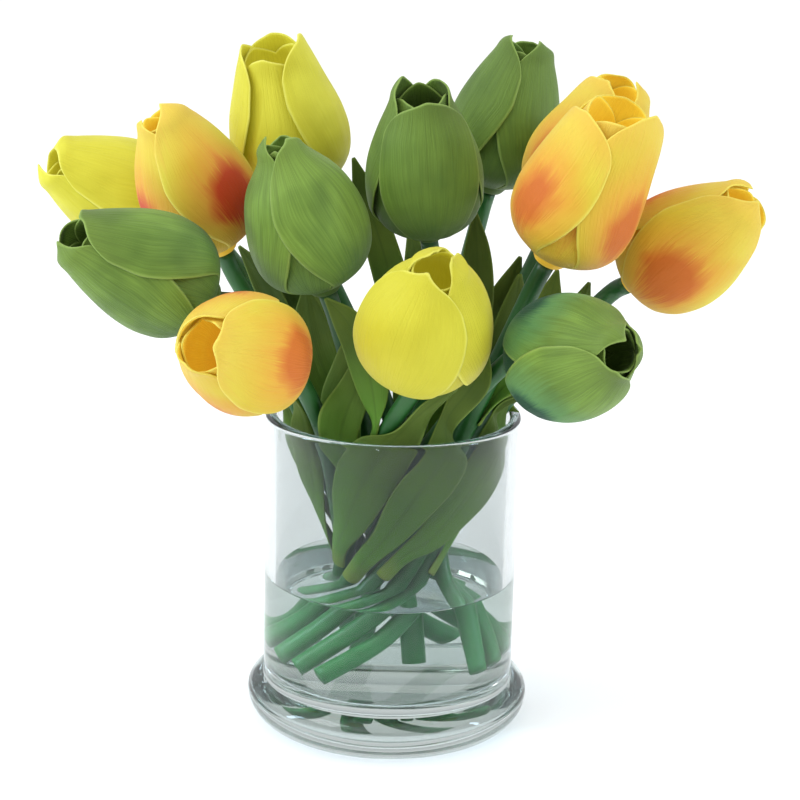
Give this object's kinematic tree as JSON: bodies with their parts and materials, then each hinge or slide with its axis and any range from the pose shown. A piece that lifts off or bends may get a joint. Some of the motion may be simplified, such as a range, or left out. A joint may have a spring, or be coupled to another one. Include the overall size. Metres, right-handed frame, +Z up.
{
  "type": "tulips in a vase",
  "caption": "Bunch of yellow, orange-flushed and green-budded tulips with broad leaves, standing in a clear glass vase with a bulging foot and some water.",
  "frame": {"origin": "centre of the flat underside of the vase's foot", "axes": "+Z up along the vase's axis, +Y towards the back of the bunch, +X to the right of someone who faces its front"},
  "size_m": [0.2741, 0.1929, 0.2673],
  "materials": {
    "clear_glass": "clear, polished",
    "water": "clear still water",
    "stem_green": "smooth, satin",
    "leaf_green": "matte, veined lengthwise",
    "petal_yellow": "matte, finely ribbed",
    "petal_orange": "matte, yellow-orange with a red flush",
    "petal_green": "matte, green bud, finely ribbed"
  },
  "bodies": {
    "root": {"bloom_01_yellow": "petal_yellow", "bloom_02_orange": "petal_orange", "bloom_03_yellow": "petal_yellow", "bloom_04_green": "petal_green", "bloom_05_green": "petal_green", "bloom_06_orange": "petal_orange", "bloom_07_yellow": "petal_yellow", "bloom_08_green": "petal_green", "bloom_09_green": "petal_green", "bloom_10_orange": "petal_orange", "bloom_11_orange": "petal_orange", "bloom_12_orange": "petal_orange", "bloom_13_green": "petal_green", "leaf_01": "leaf_green", "leaf_02": "leaf_green", "leaf_03": "leaf_green", "leaf_04": "leaf_green", "leaf_05": "leaf_green", "leaf_06": "leaf_green", "leaf_07": "leaf_green", "leaf_08": "leaf_green", "leaf_09": "leaf_green", "leaf_10": "leaf_green", "leaf_11": "leaf_green", "leaf_12": "leaf_green", "leaf_13": "leaf_green", "leaf_14": "leaf_green", "leaf_15": "leaf_green", "leaf_16": "leaf_green", "leaf_17": "leaf_green", "leaf_18": "leaf_green", "leaf_19": "leaf_green", "leaf_20": "leaf_green", "leaf_21": "leaf_green", "leaf_22": "leaf_green", "leaf_23": "leaf_green", "stem_01": "stem_green", "stem_02": "stem_green", "stem_03": "stem_green", "stem_04": "stem_green", "stem_05": "stem_green", "stem_06": "stem_green", "stem_07": "stem_green", "stem_08": "stem_green", "stem_09": "stem_green", "stem_10": "stem_green", "stem_11": "stem_green", "stem_12": "stem_green", "stem_13": "stem_green", "vase": "clear_glass", "water": "water"}
  },
  "joints": []
}
